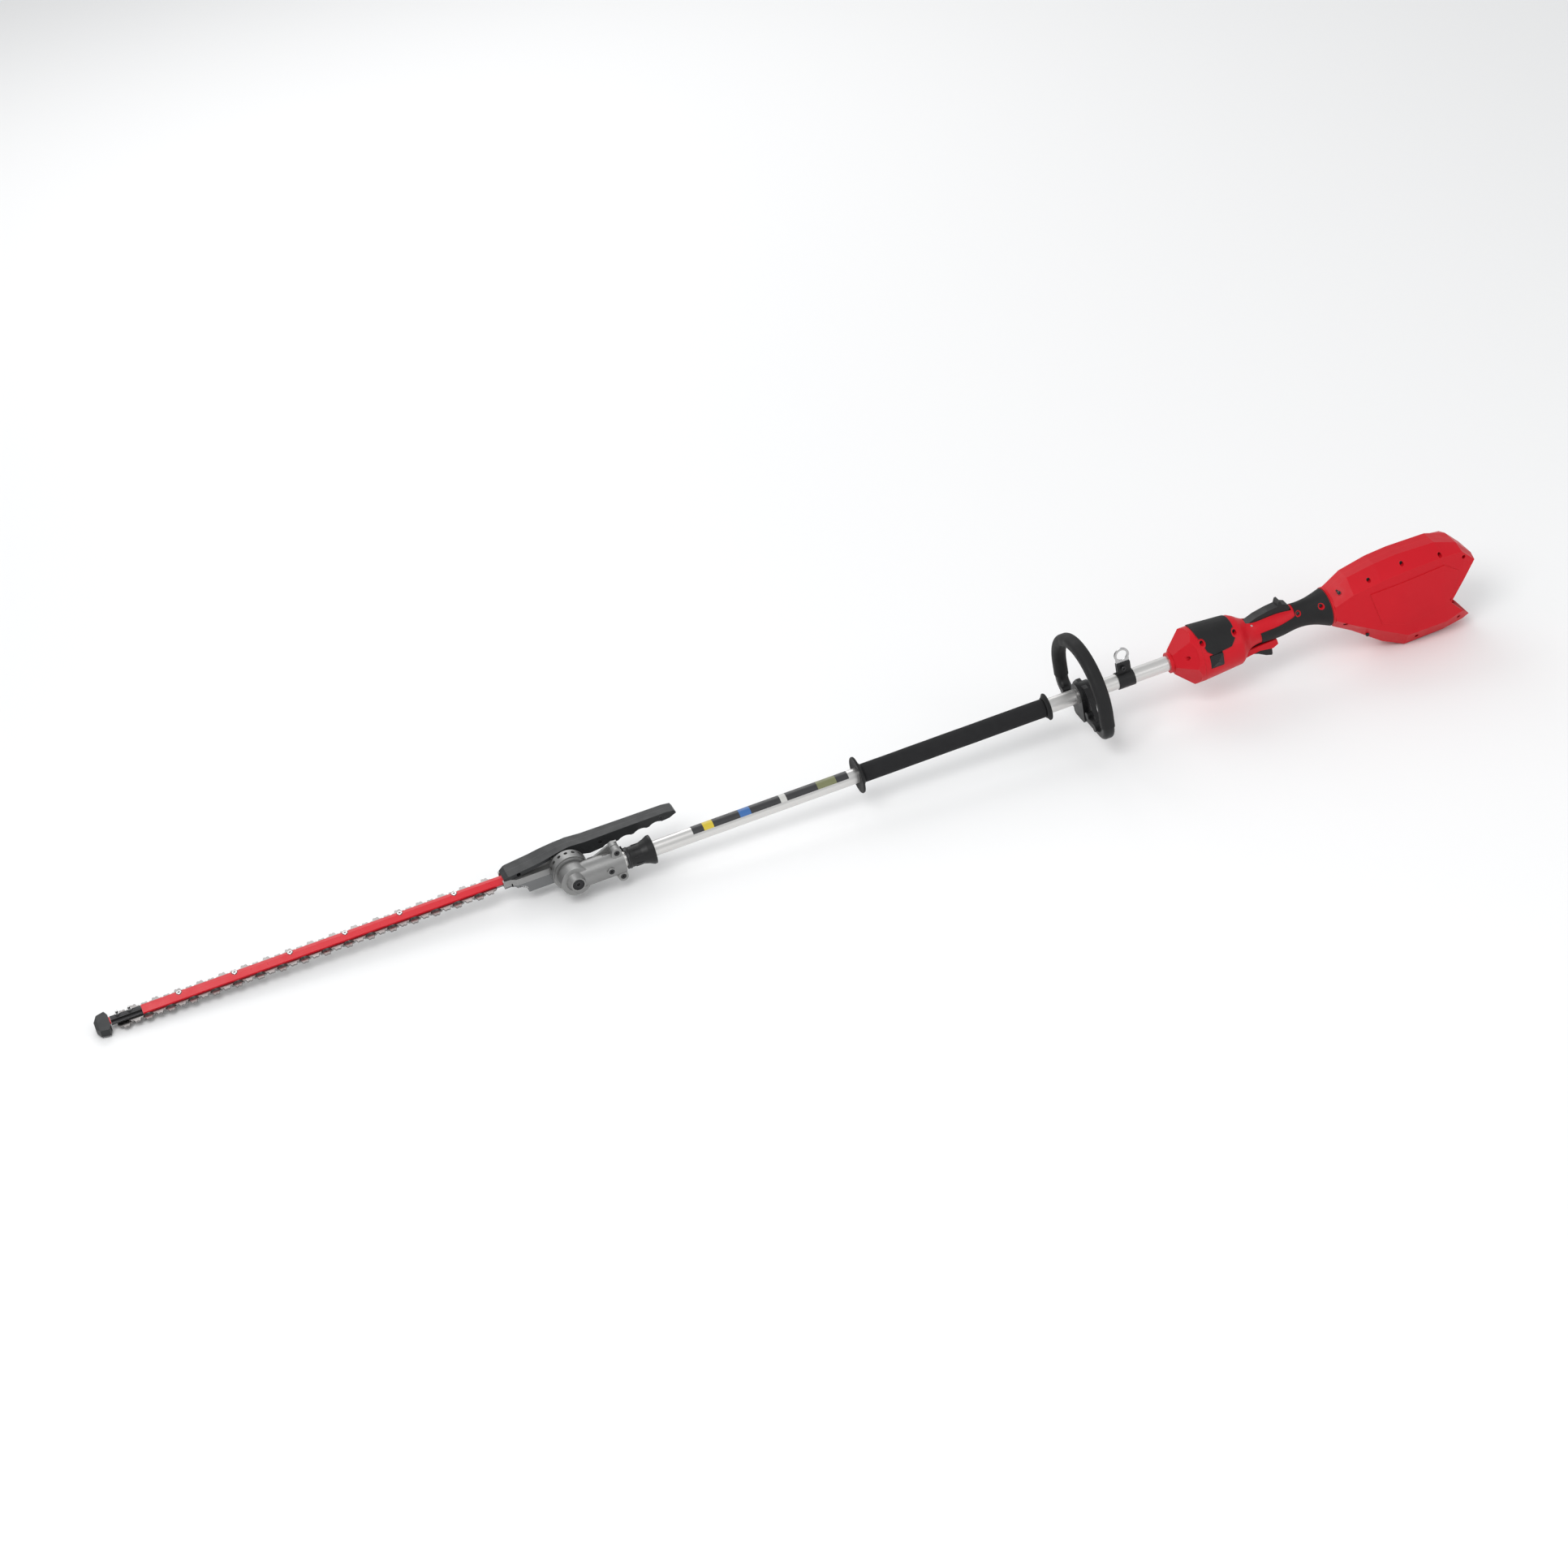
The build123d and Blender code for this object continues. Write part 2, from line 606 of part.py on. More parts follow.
def label():
    """Thin decal wrapped over the top of the pole."""
    sleeve = ring_x_solid(pole_r, pole_r + 0.2, -765, -495)
    wedge = [(0, 0), (-40 * sin(radians(58)), 40 * cos(radians(58))), (0, 60),
             (40 * sin(radians(58)), 40 * cos(radians(58)))]
    return sleeve & prism_yz(wedge, -770, -490)


def foam_grip():
    outer = [(-470.0, pole_r), (-470.0, 15.0), (-466, 15.8), (-150, 15.8), (-146.4, 15.0), (-146.4, pole_r)]
    return turned_x(outer)


def grip_flanges():
    front = turned_x([(-477.6, pole_r), (-477.6, 16.5), (-479.4, 30.0), (-478.0, 31.0), (-475.8, 30.4),
                      (-472.6, 20.0), (-470.0, 17.0), (-470.0, pole_r)])
    rear = turned_x([(-146.4, pole_r), (-146.4, 17.4), (-143.8, 19.6), (-141.6, 23.0), (-140.0, 22.6),
                     (-139.8, 16.0), (-138.8, pole_r)])
    return Compound(children=[front, rear])


# ---------------------------------------------------------------- loop handle

def loop_arch_path():
    side = Line((loop_x, loop_half, -12), (loop_x, loop_half, 12))
    other = Line((loop_x, -loop_half, 12), (loop_x, -loop_half, -12))
    plane = Plane(origin=(loop_x, 0, 12), x_dir=(0, 1, 0), z_dir=(1, 0, 0))
    top = plane * EllipticalCenterArc((0, 0), loop_half, loop_apex - 12, start_angle=0, arc_size=180)
    return side + top + other


def d_handle_overmould():
    """Rubber-covered arch of the loop."""
    path = Wire(loop_arch_path().edges())
    section = Plane(origin=path @ 0, z_dir=path % 0, x_dir=(1, 0, 0)) * RectangleRounded(23, 21, 8.5)
    return sweep(section, path=path)


def loop_bar_path():
    corner = 20.0
    left = Line((loop_x, loop_half, -12), (loop_x, loop_half, loop_low + corner))
    turn = TangentArc((loop_x, loop_half, loop_low + corner), (loop_x, loop_half - corner, loop_low),
                      tangent=(0, 0, -1))
    cross = Line((loop_x, loop_half - corner, loop_low), (loop_x, -loop_half + corner, loop_low))
    turn_back = TangentArc((loop_x, -loop_half + corner, loop_low), (loop_x, -loop_half, loop_low + corner),
                           tangent=(0, -1, 0))
    right = Line((loop_x, -loop_half, loop_low + corner), (loop_x, -loop_half, -12))
    return left + turn + cross + turn_back + right


def d_handle_core():
    """Rigid lower bar of the loop with its web, saddle on the pole and screw bosses."""
    path = Wire(loop_bar_path().edges())
    section = Plane(origin=path @ 0, z_dir=path % 0, x_dir=(1, 0, 0)) * RectangleRounded(20, 19, 7)
    body = sweep(section, path=path)
    web = prism_yz([(-62, -34), (-30, 8), (-17, 20), (17, 20), (30, 8), (62, -34)], loop_x - 4, loop_x + 4)
    saddle = cyl_x(21, loop_x - 12, loop_x + 12)
    body = body + web + (saddle & block(-100, -50, -30, 30, -34, 30)) + block(-87, -63, -21, 21, -30, 0)
    for y in (-64, 64):
        body = body + cyl_x(7.0, loop_x - 13.5, loop_x, y, -27)
        body = body + cyl_x(6.0, loop_x - 11.5, loop_x, y * 0.5, -22)
    body = body - cyl_x(pole_r, -120, -40)
    body = body & block(-120, -40, -120, 120, -60, 60)
    cap_room = block(loop_x - 12.2, loop_x + 12.2, -21.2, 21.2, -60, -0.5)
    holes = [cyl_z(2.5, -60, 9, loop_x, y) for y in (-17, 17)]
    return body - cap_room - holes


def d_handle_clamp():
    """Lower half of the pole clamp, drawn up by two screws."""
    cap = block(loop_x - 12, loop_x + 12, -21, 21, -44, -1.0)
    cap = cap - cyl_x(pole_r, -120, -40)
    edges = cap.edges().filter_by(Axis.X).group_by(Axis.Z)[0]
    cap = fillet(edges, 7)
    holes = [cyl_z(2.6, -60, 0, loop_x, y) for y in (-17, 17)]
    return cap - holes


# ---------------------------------------------------------------- harness eye

def harness_band():
    band = ring_x_solid(pole_r, pole_r + 1.8, -band_half, band_half)
    ears = block(-12, 12, -3.6, -1.4, 11.5, 33) + block(-12, 12, 1.4, 3.6, 11.5, 33)
    body = band - block(-20, 20, -1.4, 1.4, 5, 20) + (ears - cyl_x(pole_r, -20, 20))
    return body - cyl_y(2.6, -10, 10, -2, 24)


def harness_eye():
    plate = block(-11.5, 11.5, -1.3, 1.3, 14.8, eye_rise) + cyl_y(13.0, -1.3, 1.3, 0, eye_rise)
    plate = plate - cyl_y(eye_hole_r, -5, 5, 0, eye_rise)
    return plate - cyl_y(2.6, -10, 10, -2, 24)


# ---------------------------------------------------------------- power head

handle_sections = [
    (195.0, 42.0, 42.2, 0.0),
    (206.0, 36.0, 39.0, 0.0),
    (218.0, 24.0, 30.0, 1.5),
    (240.0, 19.5, 24.5, 3.0),
    (300.0, 18.5, 22.5, 3.5),
    (335.0, 19.5, 23.0, 2.5),
    (352.0, 25.0, 27.0, 1.0),
    (368.0, 31.5, 32.0, -1.0),
]
lever_pivot = (228.0, 22.0)
trigger_pivot = (216.0, -24.0)


def handle_loft(grow):
    faces = []
    for x, half_y, half_z, z in handle_sections:
        faces.append(Plane.YZ.offset(x) * Pos(0, z) * Ellipse(half_y + grow, half_z + grow + 0.01))
    return loft(faces)


def motor_body(grow):
    ring = cyl_x(motor_r + grow, ring_x + 0.3, ring_x + 5)
    return ring + cone_x(motor_r + grow, motor_end_r + grow, ring_x + 5, motor_end_x)


motor_screw_stations = [(129.5, 36.0, -24.0), (190.0, 33.0, -21.0), (133.0, -39.0, -18.0),
                        (186.0, -36.0, -18.0), (312.0, 15.0, -12.0), (352.0, 17.0, -16.0)]


def motor_shell(side):
    body = motor_body(0) + handle_loft(0)
    body = body - motor_body(-wall) - handle_loft(-wall) - cyl_x(38, ring_x - 1, 200)
    bosses = []
    for x, z, y in motor_screw_stations:
        bosses.append(cyl_y(5.2, -50, 30, x, z) & (motor_body(-0.2) + handle_loft(-0.2)))
    bosses = [boss - cyl_x(36.5, ring_x - 1, 204) for boss in bosses]
    body = body + bosses
    for x, z, y in motor_screw_stations:
        body = body - cyl_y(3.6, -60, y, x, z) - cyl_y(1.6, -60, 12, x, z)
    body = body - block(134.7, 159.3, -60, -30, -8.3, 16.3)
    body = body - block(219, 303, -9.2, 9.2, 10, 60)
    body = body - block(206, 268, -9.2, 9.2, -60, -8)
    skirt = prism_xz([(206, -24), (270, -20), (272, -30), (262, -35), (238, -31), (208, -36)], -13, 13)
    skirt = skirt - block(200, 268, -9.2, 9.2, -60, 0) - handle_loft(-wall)
    body = body + skirt
    body = body - cyl_x(14, 180, 216)
    body = body - cyl_y(2.0, -13.6, 13.6, *lever_pivot) - cyl_y(2.0, -12.4, 12.4, *trigger_pivot)
    cut = block(100, 400, -80, 0, -80, 80) if side < 0 else block(100, 400, 0, 80, -80, 80)
    return body & cut


def nose_cap():
    """Six-sided nose cone that grips the pole and closes the motor housing."""
    small = Plane.YZ.offset(84) * RegularPolygon(21.5, 6, major_radius=True, rotation=0)
    large = Plane.YZ.offset(120) * RegularPolygon(56.0, 6, major_radius=True, rotation=0)
    cone = loft([small, large], ruled=True)
    collar = cyl_x(17.6, 78, 100) + cone_x(17.6, 28, 92, 112)
    rim = cyl_x(motor_r, 118, ring_x)
    body = (cone & cyl_x(motor_r, 78, 121)) + collar + rim
    hollow = cone_x(20, 45, 96, ring_x + 0.1)
    body = body - hollow - cyl_x(pole_r, 70, 130)
    for i in range(3):
        turn = Rot(120 * i + 62, 0, 0)
        body = body - turn * cyl_x(3.4, 80, 117, 0, 34) - turn * cyl_x(1.7, 80, 130, 0, 34)
    return body


def nose_screws():
    screws = []
    for i in range(3):
        screw = Pos(117, 0, 34) * Rot(0, -90, 0) * socket_screw(3.2, 2.6, 1.7, 7.5, 1.6)
        screws.append(Rot(120 * i + 62, 0, 0) * screw)
    return Compound(children=screws)


def motor_pad(side):
    """Rubber bumper over the top of the motor housing."""
    band = motor_body(1.3) - motor_body(0)
    region = prism_xz([(118, 70), (133, 24), (143, 16), (177, 18), (190, 30), (196, 70)], -60, 60)
    pad = band & region
    for x, z, y in motor_screw_stations:
        pad = pad - cyl_y(6.2, -60, 60, x, z)
    cut = block(100, 400, -80, 0, -80, 80) if side < 0 else block(100, 400, 0, 80, -80, 80)
    return pad & cut


def grip_pad(side):
    """Rubber skin of the rear handle, leaving a painted strip beside the lever."""
    skin = handle_loft(1.3) - handle_loft(0)
    outline = [(240, 6), (244, -22), (275, -34), (366.8, -60), (366.8, 60), (310, 60), (306, 14), (300, 12)]
    pad = skin & prism_xz(outline, -60, 60)
    pad = pad - block(200, 272.4, -13.2, 13.2, -60, 0) - block(200, 306, -14, 14, 8, 60)
    for x, z, y in motor_screw_stations:
        pad = pad - cyl_y(5.4, -60, 60, x, z)
    cut = block(100, 400, -80, 0, -80, 80) if side < 0 else block(100, 400, 0, 80, -80, 80)
    return pad & cut


# Battery housing sections: x, top z, top half width, half width, shoulder z, lower shoulder z,
# bottom half width, bottom z
battery_sections = [
    (372.0, 31, 13, 32.5, 13, -14, 13, -34),
    (405.0, 50, 14, 36, 27, -34, 16, -54),
    (455.0, 59, 16, 40, 36, -62, 20, -92),
    (495.0, 62, 16, 42, 40, -84, 23, -112),
    (567.0, 60, 17, 42, 42, -84, 24, -109),
    (606.0, 46, 18, 40, 38, -74, 23, -103),
    (632.0, 17, 20, 37, 10, -60, 21, -93),
]
bay_apex = (578.0, -51.0)
bay_top = (634.0, 19.2)
bay_low = (620.0, -96.0)


def battery_loft(grow):
    faces = []
    for x, zt, at, w, zs, zl, ab, zb in battery_sections:
        points = [(at, zt + grow), (w + grow, zs), (w + grow, zl), (ab, zb - grow),
                  (-ab, zb - grow), (-w - grow, zl), (-w - grow, zs), (-at, zt + grow)]
        faces.append(Plane.YZ.offset(x) * Polygon(*points, align=None))
    return loft(faces, ruled=True)


def bay_prism(push=0.0):
    """Wedge that the battery pack occupies behind the slanted rear opening."""
    ax, az = bay_apex
    mouth = [(bay_top[0] + 2 - push, bay_top[1] + 4), (ax - push, az), (bay_low[0] - push, bay_low[1] - 4)]
    return prism_xz(mouth + [(700, -100), (700, 30)], -70, 70)


battery_screw_stations = [(384, 34), (437, 41), (499, 50), (566, 45), (608, 27), (575, -44), (594, -90),
                          (514, -98), (428, -66), (388, -27)]


def battery_shell(side):
    outer = battery_loft(0)
    body = outer - battery_loft(-wall) - bay_prism()
    bosses = [cyl_y(5.4, -50, 50, x, z) for x, z in battery_screw_stations]
    bosses = [boss & battery_loft(-0.5) for boss in bosses]
    body = body + bosses
    body = body - bay_prism()
    for x, z in battery_screw_stations:
        body = body - cyl_y(3.5, -60, -24, x, z) - cyl_y(1.6, -60, 12, x, z)
    ring = ring_x_solid(28.5, 33.0, neck_x + 0.2, 372.0)
    body = body + ring + (cyl_x(32, 371.9, 374) & battery_loft(0)) - cyl_x(28.5, 360, 376)
    cut = block(360, 700, -80, 0, -130, 80) if side < 0 else block(360, 700, 0, 80, -130, 80)
    return body & cut


def side_panel(side):
    """Raised panel on the flank of the battery housing."""
    outline = [(434, 18), (570, 26), (596, 6), (574, -50), (488, -60), (450, -44)]
    slab = prism_xz(outline, -60, 60)
    pad = (slab & battery_loft(1.2)) - battery_loft(0)
    cut = block(360, 700, -80, 0, -130, 80) if side < 0 else block(360, 700, 0, 80, -130, 80)
    return pad & cut


def battery_direction():
    dx = bay_top[0] - bay_apex[0]
    dz = bay_top[1] - bay_apex[1]
    return degrees(atan2(dz, dx))


def battery_terminal_block():
    """Rail plate across the slanted bay, with two guide rails and five blade contacts."""
    angle = battery_direction()
    plate = block(4, 82, -33, 33, 2.0, 6.0)
    rails = block(10, 78, -30, -26, -5, 2.0) + block(10, 78, 26, 30, -5, 2.0)
    rails = rails + block(10, 78, -26, -22, -5, -2.6) + block(10, 78, 22, 26, -5, -2.6)
    tower = block(22, 44, -16, 16, -4.0, 2.0)
    for i in range(5):
        tower = tower + block(44, 56, -12.6 + 6 * i, -11.4 + 6 * i, -2.6, 2.0)
    body = Pos(bay_apex[0], 0, bay_apex[1]) * Rot(0, -angle, 0) * (plate + rails + tower)
    for x, z in battery_screw_stations:
        body = body - cyl_y(5.7, -50, 50, x, z)
    return body & (battery_loft(-wall - 0.3) + bay_prism())


def battery_screws():
    screws = []
    for x, z in battery_screw_stations:
        screws.append(placed(socket_screw(3.1, 2.6, 1.6, 30.0, 1.5), x, -24.0, z, "-Y"))
    return Compound(children=screws)


def motor_shell_screws():
    screws = []
    for x, z, y in motor_screw_stations:
        screws.append(placed(socket_screw(3.1, 2.6, 1.6, 20.0, 1.5), x, y, z, "-Y"))
    return Compound(children=screws)


def motor_stator():
    ring = ring_x_solid(20.6, 34.0, 142, 178)
    slots = [Rot(40 * i, 0, 0) * block(141, 179, -2.4, 2.4, 19, 29) for i in range(9)]
    mounts = [Rot(60 * i + 30, 0, 0) * block(146, 174, -2, 2, 33.5, 37.0) for i in range(6)]
    return ring - slots + mounts


def motor_rotor():
    return cyl_x(20.0, 144, 176) + cyl_x(4.0, 127.4, 212)


def motor_fan():
    hub = ring_x_solid(4.0, 9.0, 182, 194)
    plate = ring_x_solid(4.0, 32.0, 182, 183.6)
    vanes = [Rot(30 * i, 0, 0) * block(183.6, 193, -0.8, 0.8, 8.6, 31.5) for i in range(12)]
    return hub + plate + vanes


def motor_bearings():
    front = ring_x_solid(4.05, 11.0, 138.4, 142.0)
    rear = ring_x_solid(4.05, 11.0, 200.0, 207.0)
    return Compound(children=[front, rear])


def motor_brackets():
    """End plates that hold the motor bearings in the housing."""
    front = ring_x_solid(11.0, 36.4, 138.4, 141.6) - [
        Rot(60 * i, 0, 0) * block(137, 143, -5, 5, 15, 31) for i in range(6)]
    rear = ring_x_solid(11.0, 30.0, 203.0, 206.4) & handle_loft(-wall - 0.2)
    return Compound(children=[front, rear])


def power_button():
    """Square rocker button with a low pyramid face, pressed inwards."""
    key = block(135.2, 158.8, -46.8, -40.5, -7.8, 15.8)
    corners = key.edges().filter_by(Axis.Y)
    key = fillet(corners, 2.4)
    pyramid = extrude(Plane.XZ.offset(46.8) * Pos(147, 4) * Rectangle(21, 21), 4.0, taper=66)
    return key + pyramid


def control_board():
    board = block(396, 470, -1.0, 1.0, -18, 22)
    parts = [block(400, 425, 1.0, 9.0, -16, 6), block(432, 448, 1.0, 7.0, -10, 10),
             cyl_y(5.0, 1.0, 14.0, 458, -12), cyl_y(5.0, 1.0, 14.0, 458, 4)]
    return board + parts


def switch_module():
    """Trigger switch body in the handle."""
    body = block(236, 266, -7.5, 7.5, -3, 11)
    plunger = block(244, 250, -3, 3, -9, -3)
    return body + plunger


def lock_off_lever():
    """Palm lever on top of the rear handle, pivoted at its front end."""
    px, pz = lever_pivot
    side = [(px - 5, pz - 3), (px - 6, pz + 3), (240, 32), (262, 36.4), (274, 37.6), (279, 38.2), (282, 46),
            (285.5, 46.4), (288, 39.5), (298, 35), (301.5, 29), (299, 23), (270, 17), (px + 4, pz - 5)]
    body = prism_xz(side, -8.6, 8.6)
    return body - cyl_y(2.05, -12, 12, px, pz)


def lever_pin():
    px, pz = lever_pivot
    return cyl_y(2.0, -13.6, 13.6, px, pz)


def trigger():
    """Variable-speed trigger, pivoted at its front end."""
    px, pz = trigger_pivot
    side = [(px - 5, pz), (px - 4, pz + 5), (px + 5, pz + 5), (px + 46, pz + 8), (px + 46, pz - 24),
            (px + 44.5, pz - 26.5), (px + 34, pz - 23), (px + 20, pz - 15), (px - 2, pz - 8)]
    body = prism_xz(side, -8.2, 8.2)
    return body - cyl_y(2.05, -12, 12, px, pz)


def trigger_pin():
    px, pz = trigger_pivot
    return cyl_y(2.0, -12.4, 12.4, px, pz)


nodes = {
    "upper_blade": upper_blade,
    "lower_blade": lower_blade,
    "support_bar": support_bar,
    "bar_nose": bar_nose,
    "tip_studs": tip_studs,
    "tip_guard": tip_guard,
    "tip_spacer": tip_spacer,
    "bar_screws": bar_screws,
    "blade_guides": blade_guides,
    "blade_nuts": blade_nuts,
    "gear_case_upper": gear_case_upper,
    "gear_case_lower": gear_case_lower,
    "case_screws": case_screws,
    "detent_drum": detent_drum,
    "handle_near": lambda: handle_half(-1),
    "handle_far": lambda: handle_half(1),
    "handle_screws": handle_screws,
    "drive_shaft": drive_shaft,
    "shaft_coupler": shaft_coupler,
    "hinge_shaft": hinge_shaft,
    "input_shaft": input_shaft,
    "idler_gear": idler_gear,
    "crank_gear": crank_gear,
    "head_bearings": head_bearings,
    "shaft_bushes": shaft_bushes,
    "shaft_housing": shaft_housing,
    "pivot_bolt": pivot_bolt,
    "pole_screws": pole_screws,
    "lock_collar": lock_collar,
    "lock_plunger": lock_plunger,
    "lock_spring": lock_spring,
    "spring_stop": spring_stop,
    "pole_tube": pole_tube,
    "label": label,
    "foam_grip": foam_grip,
    "grip_flanges": grip_flanges,
    "d_handle_overmould": d_handle_overmould,
    "d_handle_core": d_handle_core,
    "d_handle_clamp": d_handle_clamp,
    "harness_band": harness_band,
    "harness_eye": harness_eye,
    "nose_cap": nose_cap,
    "motor_shell_near": lambda: motor_shell(-1),
    "motor_shell_far": lambda: motor_shell(1),
    "overmould_pads": lambda: Compound(
        children=[pad(side) for pad in (motor_pad, grip_pad) for side in (-1, 1)]),
    "battery_shell_near": lambda: battery_shell(-1),
    "battery_shell_far": lambda: battery_shell(1),
    "side_panels": lambda: Compound(children=[side_panel(-1), side_panel(1)]),
    "battery_terminal_block": battery_terminal_block,
    "housing_screws": lambda: Compound(children=[nose_screws(), battery_screws(), motor_shell_screws()]),
    "motor_stator": motor_stator,
    "motor_bearings": lambda: Compound(children=[motor_brackets(), motor_bearings()]),
    "motor_rotor": motor_rotor,
    "motor_fan": motor_fan,
    "power_button": power_button,
    "lock_off_lever": lock_off_lever,
    "trigger": trigger,
    "control_board": control_board,
    "switch_module": switch_module,
    "control_pins": lambda: Compound(children=[lever_pin(), trigger_pin()]),
}

if __name__ == "__main__":
    for name, make in nodes.items():
        export_step(Pos(0, 0, -eye_rise) * make(), f"parts/{name}.step")
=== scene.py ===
import json
from math import cos, pi, radians, sin

import bmesh
import bpy
from mathutils import Matrix, Vector


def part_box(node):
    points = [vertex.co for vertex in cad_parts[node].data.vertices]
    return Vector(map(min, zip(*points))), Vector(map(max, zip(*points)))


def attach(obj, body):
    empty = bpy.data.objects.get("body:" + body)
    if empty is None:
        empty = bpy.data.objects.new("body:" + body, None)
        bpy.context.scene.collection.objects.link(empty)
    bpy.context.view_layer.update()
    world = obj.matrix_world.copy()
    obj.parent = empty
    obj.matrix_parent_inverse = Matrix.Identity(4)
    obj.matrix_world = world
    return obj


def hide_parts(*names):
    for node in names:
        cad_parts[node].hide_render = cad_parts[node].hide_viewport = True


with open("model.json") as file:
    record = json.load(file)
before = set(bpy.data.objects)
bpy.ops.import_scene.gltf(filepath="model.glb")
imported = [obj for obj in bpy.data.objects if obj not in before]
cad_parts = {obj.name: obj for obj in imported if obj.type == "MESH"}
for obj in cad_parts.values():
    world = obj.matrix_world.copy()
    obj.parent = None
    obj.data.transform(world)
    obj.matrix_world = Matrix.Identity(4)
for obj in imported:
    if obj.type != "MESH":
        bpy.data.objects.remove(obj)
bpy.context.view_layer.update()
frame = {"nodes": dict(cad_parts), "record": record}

nodes = frame["nodes"]

POLE_Z = -0.047  # height of the pole axis in the CAD frame, m

# Foam sleeve in metres. FOAM_END lists how far in from each end, and how far below its outside, the
# rounded rim runs.
FOAM_BORE_R = 0.0128
FOAM_SKIN = 0.00015
FOAM_END = [(0.0002, 0.0016), (0.0012, 0.0005), (0.0035, 0.0001)]
FOAM_STEPS = 60
FOAM_SIDES = 96

CAMERA_TARGET = Vector((-0.600, 0, -0.0146))
CAMERA_DISTANCE = 5.76
CAMERA_AZ, CAMERA_EL, CAMERA_ROLL = -13.81, 34.4, -11.88
CAMERA_LENS = 82.5

# name, place, target, size (m), power (W)
LIGHTS = [
    ("key", (-2.2, -2.2, 3.8), (-0.6, 0, 0), 2.4, 105),
    ("fill", (2.6, -3.0, 1.6), (0, 0, 0), 2.2, 26),
    ("rim", (-0.4, 3.4, 2.4), (-0.6, 0, 0), 2.8, 40),
]
SKY_COLOUR = (0.93, 0.94, 0.95, 1)
SKY_STRENGTH = 0.72

# The floor passes through this point under the battery housing and rises towards the cutter.
FLOOR_X, FLOOR_Z, FLOOR_SLOPE = 0.500, -0.1605, 0.0458
FLOOR_REACH = 14.0
FLOOR_COLOUR = (0.87, 0.87, 0.87, 1)

# Edge rounding in metres; 0 leaves the mesh as it is.
EDGE = 0.0006
EDGE_EXCEPTIONS = {"label": 0, "lock_spring": 0, "foam_grip": 0, "pole_tube": 0.0003, "harness_eye": 0.0004}
EDGE_ANGLE = radians(32)

LABEL_START, LABEL_END = -0.765, -0.495
FILM_BLACK = (0.025, 0.025, 0.027)
LABEL_BANDS = [
    (0.0, FILM_BLACK), (0.07, (0.55, 0.42, 0.03)), (0.13, FILM_BLACK), (0.30, (0.03, 0.12, 0.34)),
    (0.37, FILM_BLACK), (0.56, (0.50, 0.50, 0.48)), (0.60, FILM_BLACK), (0.80, (0.16, 0.17, 0.08)),
    (0.92, FILM_BLACK),
]


# ------------------------------------------------------------------ camera, lights, floor

def aim_camera():
    az, el, roll = radians(CAMERA_AZ), radians(CAMERA_EL), radians(CAMERA_ROLL)
    back = Vector((sin(az) * cos(el), -cos(az) * cos(el), sin(el)))
    level = Vector((cos(az), sin(az), 0))
    up0 = back.cross(level)
    right = cos(roll) * level + sin(roll) * up0
    up = -sin(roll) * level + cos(roll) * up0
    data = bpy.data.cameras.new("camera")
    data.lens = CAMERA_LENS
    data.sensor_width = 36
    data.clip_end = 60
    camera = bpy.data.objects.new("camera", data)
    bpy.context.collection.objects.link(camera)
    place = CAMERA_TARGET + back * CAMERA_DISTANCE
    turn = Matrix((right, up, back)).transposed().to_4x4()
    camera.matrix_world = Matrix.Translation(place) @ turn
    bpy.context.scene.camera = camera


def area_light(name, place, target, size, power):
    data = bpy.data.lights.new(name, "AREA")
    data.shape = "RECTANGLE"
    data.size = size
    data.size_y = size
    data.energy = power
    light = bpy.data.objects.new(name, data)
    bpy.context.collection.objects.link(light)
    light.location = place
    aim = Vector(target) - Vector(place)
    light.rotation_euler = aim.to_track_quat("-Z", "Y").to_euler()


def light_scene():
    for light in LIGHTS:
        area_light(*light)
    world = bpy.data.worlds.new("world")
    world.use_nodes = True
    sky = world.node_tree.nodes["Background"]
    sky.inputs["Color"].default_value = SKY_COLOUR
    sky.inputs["Strength"].default_value = SKY_STRENGTH
    bpy.context.scene.world = world
    bpy.context.scene.view_settings.view_transform = "Standard"


def floor_height(x):
    """Sloping plane close under the battery housing and the cutter's tip."""
    return FLOOR_Z + (FLOOR_X - x) * FLOOR_SLOPE


def make_floor():
    mesh = bpy.data.meshes.new("floor")
    far = FLOOR_REACH
    square = [(-far, -far), (far, -far), (far, far), (-far, far)]
    corners = [(x, y, floor_height(x)) for x, y in square]
    mesh.from_pydata(corners, [], [(0, 1, 2, 3)])
    floor = bpy.data.objects.new("floor", mesh)
    bpy.context.collection.objects.link(floor)
    material = bpy.data.materials.new("floor")
    material.use_nodes = True
    tree = material.node_tree
    shader = tree.nodes["Principled BSDF"]
    shader.inputs["Base Color"].default_value = FLOOR_COLOUR
    shader.inputs["Roughness"].default_value = 0.7
    mesh.materials.append(material)


# ------------------------------------------------------------------ materials

